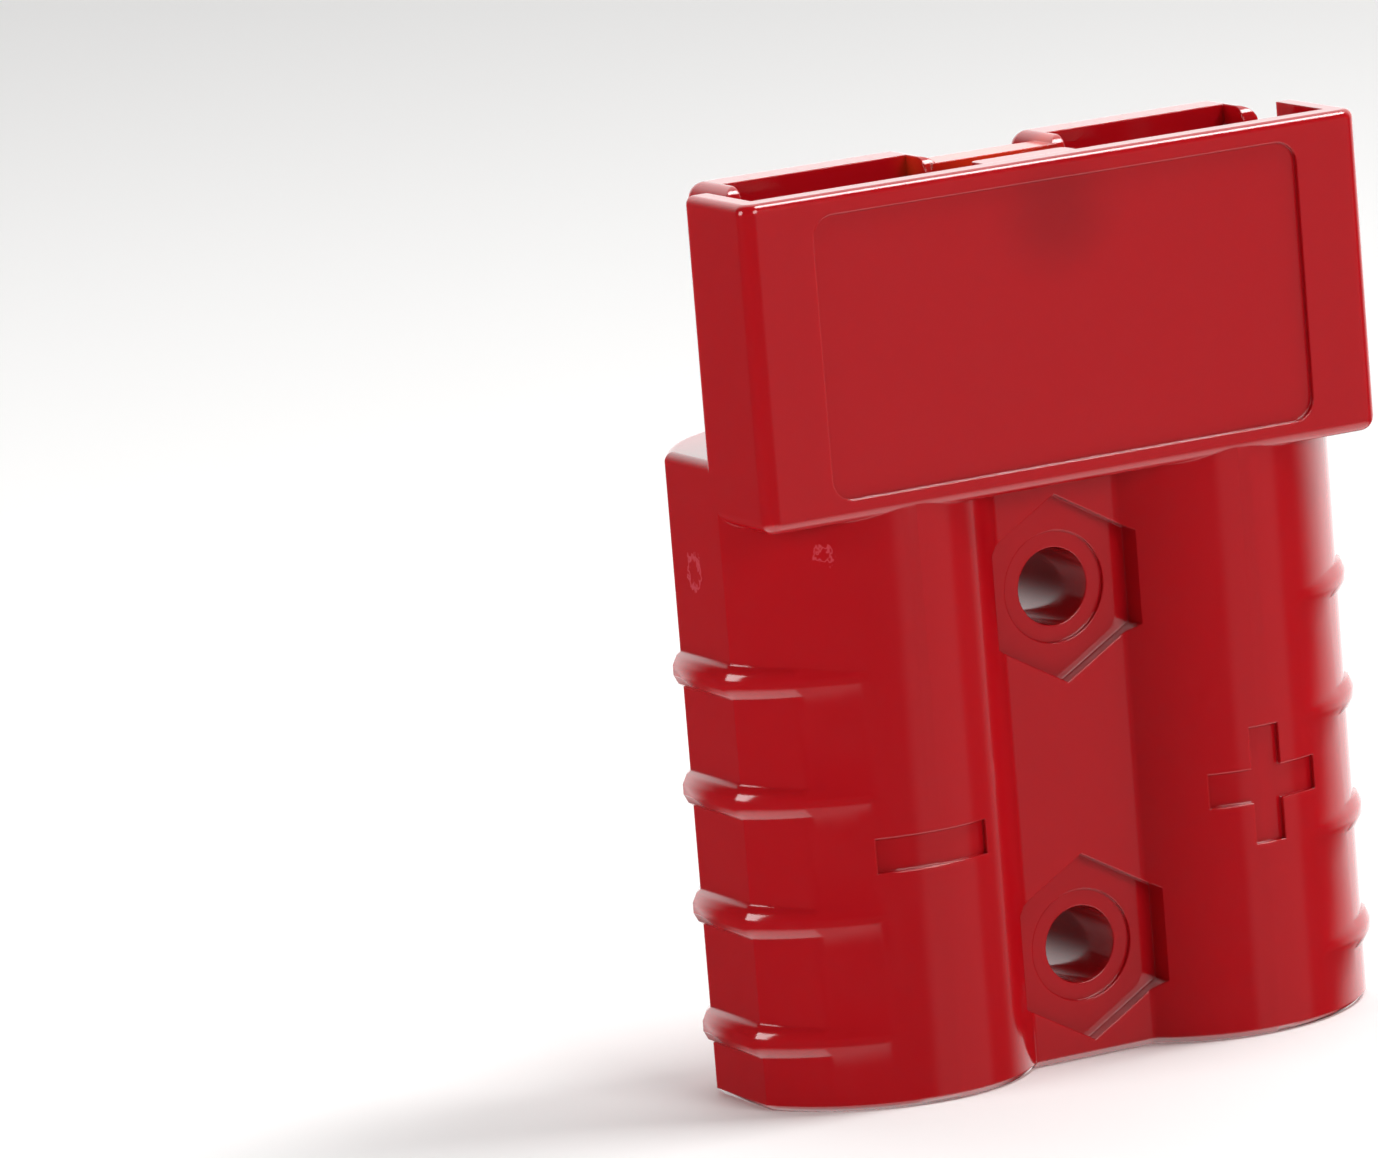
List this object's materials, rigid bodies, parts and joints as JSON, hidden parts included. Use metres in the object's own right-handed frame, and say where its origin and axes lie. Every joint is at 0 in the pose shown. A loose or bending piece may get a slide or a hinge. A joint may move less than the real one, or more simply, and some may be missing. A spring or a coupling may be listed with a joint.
{
  "type": "battery quick connector",
  "caption": "Two-pole genderless battery quick connector: a moulded housing with a mating hood, crimp contacts on leaf springs and through holes for panel fixing.",
  "frame": {"origin": "middle of the wire end: on the plane of the two wire mouths, midway between the two poles, on the plane of both wire axes", "axes": "+Z from the wire end to the mating end, -Y is the front with the hood and its label panel, +X is the side of the plus pole"},
  "size_m": [0.0376, 0.0161, 0.0478],
  "materials": {
    "housing": "glossy moulded polycarbonate, slightly translucent",
    "contact": "silver-plated copper, satin",
    "spring": "rolled stainless spring strip"
  },
  "bodies": {
    "root": {"housing": "housing", "contact_plus": "contact", "contact_minus": "contact", "spring_plus": "spring", "spring_minus": "spring"}
  },
  "joints": []
}
